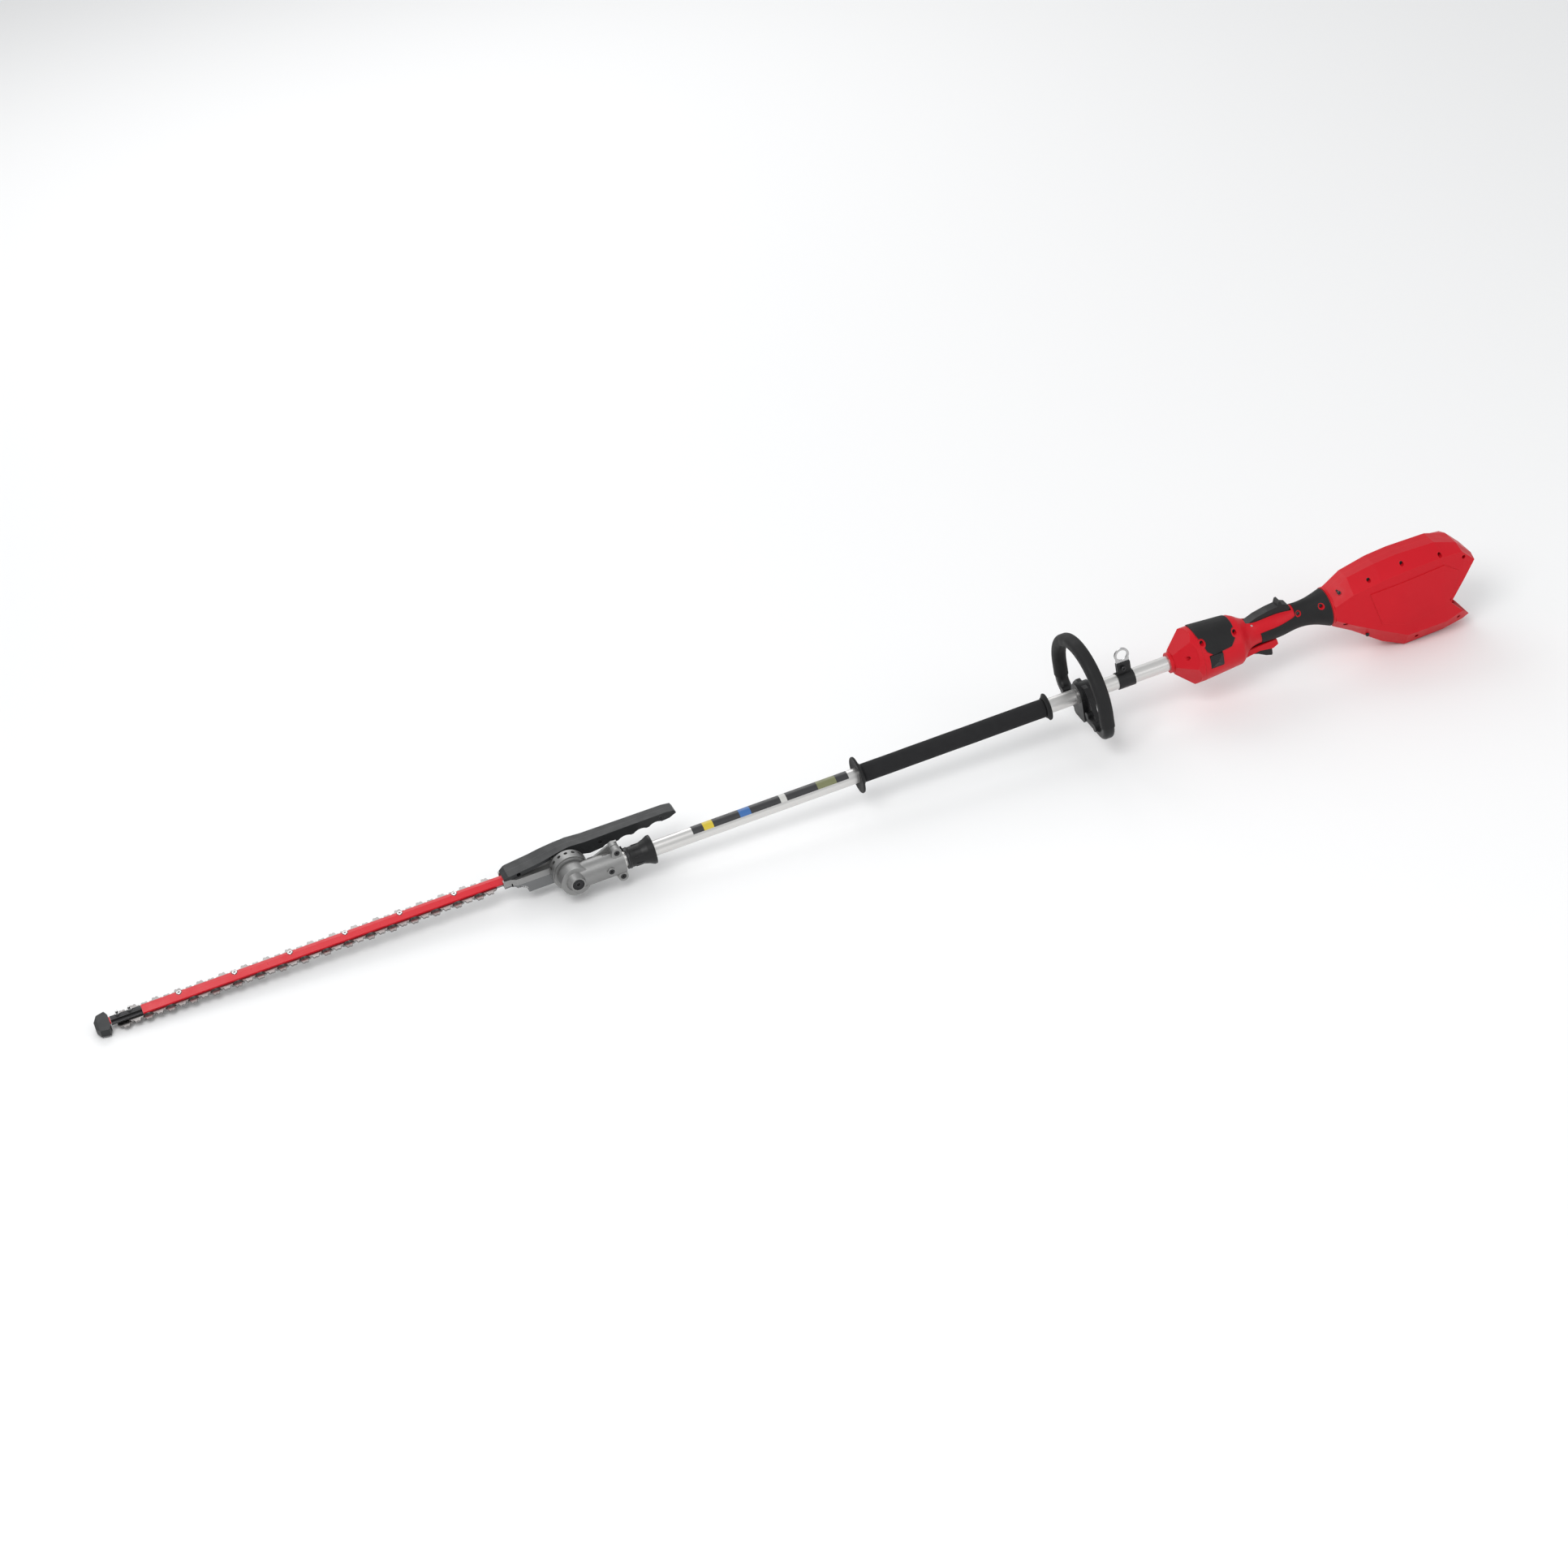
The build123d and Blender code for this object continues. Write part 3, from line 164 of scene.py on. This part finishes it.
class Build:
    """Small helper that adds and links shader nodes of one material."""

    def __init__(self, name):
        self.material = bpy.data.materials.new(name)
        self.material.use_nodes = True
        self.tree = self.material.node_tree
        self.shader = self.tree.nodes["Principled BSDF"]
        self.coords = self.tree.nodes.new("ShaderNodeTexCoord").outputs["Object"]

    def node(self, kind, **values):
        made = self.tree.nodes.new(kind)
        for key, value in values.items():
            setattr(made, key, value)
        return made

    def link(self, a, b):
        self.tree.links.new(a, b)

    def scaled(self, scale):
        mapping = self.node("ShaderNodeMapping")
        mapping.inputs["Scale"].default_value = scale
        self.link(self.coords, mapping.inputs["Vector"])
        return mapping.outputs["Vector"]

    def noise(self, scale, detail=3.0, stretch=(1, 1, 1)):
        made = self.node("ShaderNodeTexNoise")
        made.inputs["Scale"].default_value = scale
        made.inputs["Detail"].default_value = detail
        self.link(self.scaled(stretch), made.inputs["Vector"])
        return made.outputs["Fac"]

    def cells(self, scale):
        made = self.node("ShaderNodeTexVoronoi")
        made.inputs["Scale"].default_value = scale
        self.link(self.coords, made.inputs["Vector"])
        return made.outputs["Distance"]

    def spread(self, source, low, high):
        made = self.node("ShaderNodeMapRange")
        made.inputs["From Min"].default_value = 0.3
        made.inputs["From Max"].default_value = 0.7
        made.inputs["To Min"].default_value = low
        made.inputs["To Max"].default_value = high
        self.link(source, made.inputs["Value"])
        return made.outputs["Result"]

    def edges(self, radius):
        """0 on flat faces, towards 1 along edges."""
        bevel = self.node("ShaderNodeBevel", samples=6)
        bevel.inputs["Radius"].default_value = radius
        normal = self.node("ShaderNodeNewGeometry").outputs["Normal"]
        dot = self.node("ShaderNodeVectorMath", operation="DOT_PRODUCT")
        self.link(bevel.outputs["Normal"], dot.inputs[0])
        self.link(normal, dot.inputs[1])
        made = self.node("ShaderNodeMapRange")
        made.inputs["From Min"].default_value = 0.995
        made.inputs["From Max"].default_value = 0.80
        self.link(dot.outputs["Value"], made.inputs["Value"])
        return made.outputs["Result"]

    def mix(self, factor, a, b):
        made = self.node("ShaderNodeMix", data_type="RGBA")
        self.link(factor, made.inputs["Factor"])
        for socket, value in ((made.inputs["A"], a), (made.inputs["B"], b)):
            if isinstance(value, (tuple, list)):
                socket.default_value = (*value[:3], 1)
            else:
                self.link(value, socket)
        return made.outputs["Result"]

    def bump(self, height, strength, distance):
        made = self.node("ShaderNodeBump")
        made.inputs["Strength"].default_value = strength
        made.inputs["Distance"].default_value = distance
        self.link(height, made.inputs["Height"])
        self.link(made.outputs["Normal"], self.shader.inputs["Normal"])


def tone(colour, gain):
    return tuple(min(1.0, c * gain) for c in colour)


def finish_of(name, colour, rough, metal=0.0, grain=900.0, bump=0.15, depth=0.0002, stretch=(1, 1, 1),
              wear_and_edge_shade=None, wear_and_edge_shade_radius=0.0008, gloss=0.5, contrast=0.10, cellular=False):
    """Clouded base colour, paler along edges as rubbed wear on most finishes and darker along the edges of
    the bright and blade steel (painted shade on the blade steel), with uneven roughness and a fine grain.
    """
    b = Build(name)
    clouds = b.noise(14.0, 4.0)
    base = b.mix(clouds, tone(colour, 1 - contrast), tone(colour, 1 + contrast))
    if wear_and_edge_shade:
        # Edge colour: paler rubbed wear on most finishes; darker on the bright and blade steel, and on the
        # blade steel this darkening is painted shade along edges and creases.
        base = b.mix(b.edges(wear_and_edge_shade_radius), base, wear_and_edge_shade)
    b.link(base, b.shader.inputs["Base Color"])
    fine = b.cells(grain) if cellular else b.noise(grain, 4.0, stretch)
    b.link(b.spread(b.noise(60.0, 5.0, stretch), rough - 0.05, rough + 0.07), b.shader.inputs["Roughness"])
    b.shader.inputs["Metallic"].default_value = metal
    b.shader.inputs["Specular IOR Level"].default_value = gloss
    b.bump(fine, bump, depth)
    return b.material


def decal_finish():
    """Black film with plain coloured bands along the pole. It carries no sign, picture or text."""
    b = Build("decal")
    split = b.node("ShaderNodeSeparateXYZ")
    b.link(b.coords, split.inputs["Vector"])
    ramp = b.node("ShaderNodeValToRGB")
    ramp.color_ramp.interpolation = "CONSTANT"
    elements = ramp.color_ramp.elements
    elements[0].position = LABEL_BANDS[0][0]
    elements[0].color = (*LABEL_BANDS[0][1], 1)
    elements.remove(elements[1])
    for place, colour in LABEL_BANDS[1:]:
        elements.new(place).color = (*colour, 1)
    along = b.node("ShaderNodeMapRange")
    along.inputs["From Min"].default_value = LABEL_START
    along.inputs["From Max"].default_value = LABEL_END
    b.link(split.outputs["X"], along.inputs["Value"])
    b.link(along.outputs["Result"], ramp.inputs["Fac"])
    b.link(ramp.outputs["Color"], b.shader.inputs["Base Color"])
    b.link(b.spread(b.noise(90.0), 0.28, 0.4), b.shader.inputs["Roughness"])
    b.bump(b.noise(500.0), 0.05, 0.0001)
    return b.material


def make_finishes():
    return {
        "red_plastic": finish_of("red_plastic", (0.52, 0.0035, 0.012), 0.42, grain=1500, bump=0.22,
                                 gloss=0.22, contrast=0.07, wear_and_edge_shade=(0.62, 0.03, 0.03)),
        "black_rubber": finish_of("black_rubber", (0.011, 0.011, 0.0115), 0.62, grain=1100, bump=0.35,
                                  gloss=0.25, wear_and_edge_shade=(0.035, 0.035, 0.035)),
        "black_plastic": finish_of("black_plastic", (0.009, 0.009, 0.0095), 0.40, grain=1400, bump=0.25,
                                   gloss=0.30, wear_and_edge_shade=(0.04, 0.04, 0.042)),
        "grey_plastic": finish_of("grey_plastic", (0.017, 0.018, 0.019), 0.42, grain=1200, bump=0.28,
                                  gloss=0.35, wear_and_edge_shade=(0.075, 0.075, 0.078)),
        "bar_red": finish_of("bar_red", (0.56, 0.003, 0.014), 0.30, grain=700, bump=0.08, gloss=0.35,
                             contrast=0.05, wear_and_edge_shade=(0.66, 0.04, 0.05)),
        "pole_aluminium": finish_of("pole_aluminium", (0.68, 0.67, 0.655), 0.33, 1.0, grain=500, bump=0.07,
                                    stretch=(0.04, 1, 1), contrast=0.03),
        "cast_housing": finish_of("cast_housing", (0.27, 0.27, 0.267), 0.42, 0.9, grain=650, bump=0.5,
                                  depth=0.0004, wear_and_edge_shade=(0.42, 0.42, 0.41)),
        "case_paint": finish_of("case_paint", (0.16, 0.163, 0.166), 0.42, 0.4, grain=800, bump=0.2,
                                wear_and_edge_shade=(0.30, 0.30, 0.30)),
        "case_cast": finish_of("case_cast", (0.30, 0.30, 0.297), 0.42, 0.9, grain=600, bump=0.45,
                               depth=0.0004, wear_and_edge_shade=(0.46, 0.46, 0.45)),
        # Blade steel: the dark edge colour is painted shade, standing in for the dark reflections along the
        # teeth.
        "blade_steel": finish_of("blade_steel", (0.27, 0.255, 0.25), 0.28, 1.0, grain=420, bump=0.14,
                                 stretch=(1, 0.05, 1), contrast=0.18, wear_and_edge_shade=(0.10, 0.09, 0.09),
                                 wear_and_edge_shade_radius=0.0008),
        "dark_steel": finish_of("dark_steel", (0.030, 0.030, 0.032), 0.36, 0.8, grain=900, bump=0.15,
                                wear_and_edge_shade=(0.18, 0.18, 0.18)),
        # Bright steel: darker along its edges and creases.
        "bright_steel": finish_of("bright_steel", (0.50, 0.50, 0.50), 0.24, 1.0, grain=900, bump=0.1,
                                  wear_and_edge_shade=(0.12, 0.12, 0.12)),
        "foam": finish_of("foam", (0.014, 0.014, 0.015), 0.75, grain=1300, bump=0.6, depth=0.0004,
                          gloss=0.2, cellular=True),
        "decal": decal_finish(),
        "board": finish_of("board", (0.02, 0.16, 0.08), 0.4, grain=700, bump=0.2),
        "winding": finish_of("winding", (0.5, 0.28, 0.12), 0.4, 0.9, grain=700, bump=0.3,
                             stretch=(0.1, 1, 1)),
    }


def dress_frame(finishes):
    """Give every CAD node its finish, and a small rounded edge unless its edge width is 0."""
    for part in frame["record"]["subparts"]:
        thing = nodes[part["node"]]
        thing.data.materials.clear()
        thing.data.materials.append(finishes[part["material_slot"]])
        width = EDGE_EXCEPTIONS.get(part["node"], EDGE)
        if width:
            bevel = thing.modifiers.new("edge", "BEVEL")
            bevel.width = width
            bevel.segments = 2
            bevel.limit_method = "ANGLE"
            bevel.angle_limit = EDGE_ANGLE
            bevel.harden_normals = True
            bevel.use_clamp_overlap = True


# ------------------------------------------------------------------ foam grip

def turned(name, profile, sides=FOAM_SIDES):
    """Tube about the pole from (x, radius) points, with a swell of under one per cent round it."""
    mesh = bpy.data.meshes.new(name)
    build = bmesh.new()
    rings = []
    for x, radius in profile:
        ring = []
        for i in range(sides):
            angle = 2 * pi * i / sides
            swell = radius * (1 + 0.004 * sin(3 * angle + 40 * x) + 0.003 * sin(5 * angle - 90 * x))
            ring.append(build.verts.new((x, swell * cos(angle), POLE_Z + swell * sin(angle))))
        rings.append(ring)
    for a, b in zip(rings, rings[1:]):
        for i in range(sides):
            j = (i + 1) % sides
            build.faces.new((a[i], b[i], b[j], a[j]))
    bmesh.ops.recalc_face_normals(build, faces=build.faces)
    build.to_mesh(mesh)
    build.free()
    for face in mesh.polygons:
        face.use_smooth = True
    thing = bpy.data.objects.new(name, mesh)
    bpy.context.collection.objects.link(thing)
    return thing


def make_foam(finishes):
    low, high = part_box("foam_grip")
    outer = (high[2] - low[2]) / 2 - FOAM_SKIN
    x0, x1 = low[0], high[0]
    lip = FOAM_END[0][0]
    inset, drop = FOAM_END[-1]
    profile = [(x0 + lip, FOAM_BORE_R)]
    profile += [(x0 + inward, outer - below) for inward, below in FOAM_END]
    for i in range(1, FOAM_STEPS):
        profile.append((x0 + inset + (x1 - x0 - 2 * inset) * i / FOAM_STEPS, outer - drop))
    profile += [(x1 - inward, outer - below) for inward, below in reversed(FOAM_END)]
    profile += [(x1 - lip, FOAM_BORE_R), (x0 + lip, FOAM_BORE_R)]
    foam = turned("foam_sleeve", profile)
    foam.data.materials.append(finishes["foam"])
    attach(foam, "pole")
    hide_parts("foam_grip")


aim_camera()
light_scene()
make_floor()
finishes = make_finishes()
dress_frame(finishes)
make_foam(finishes)
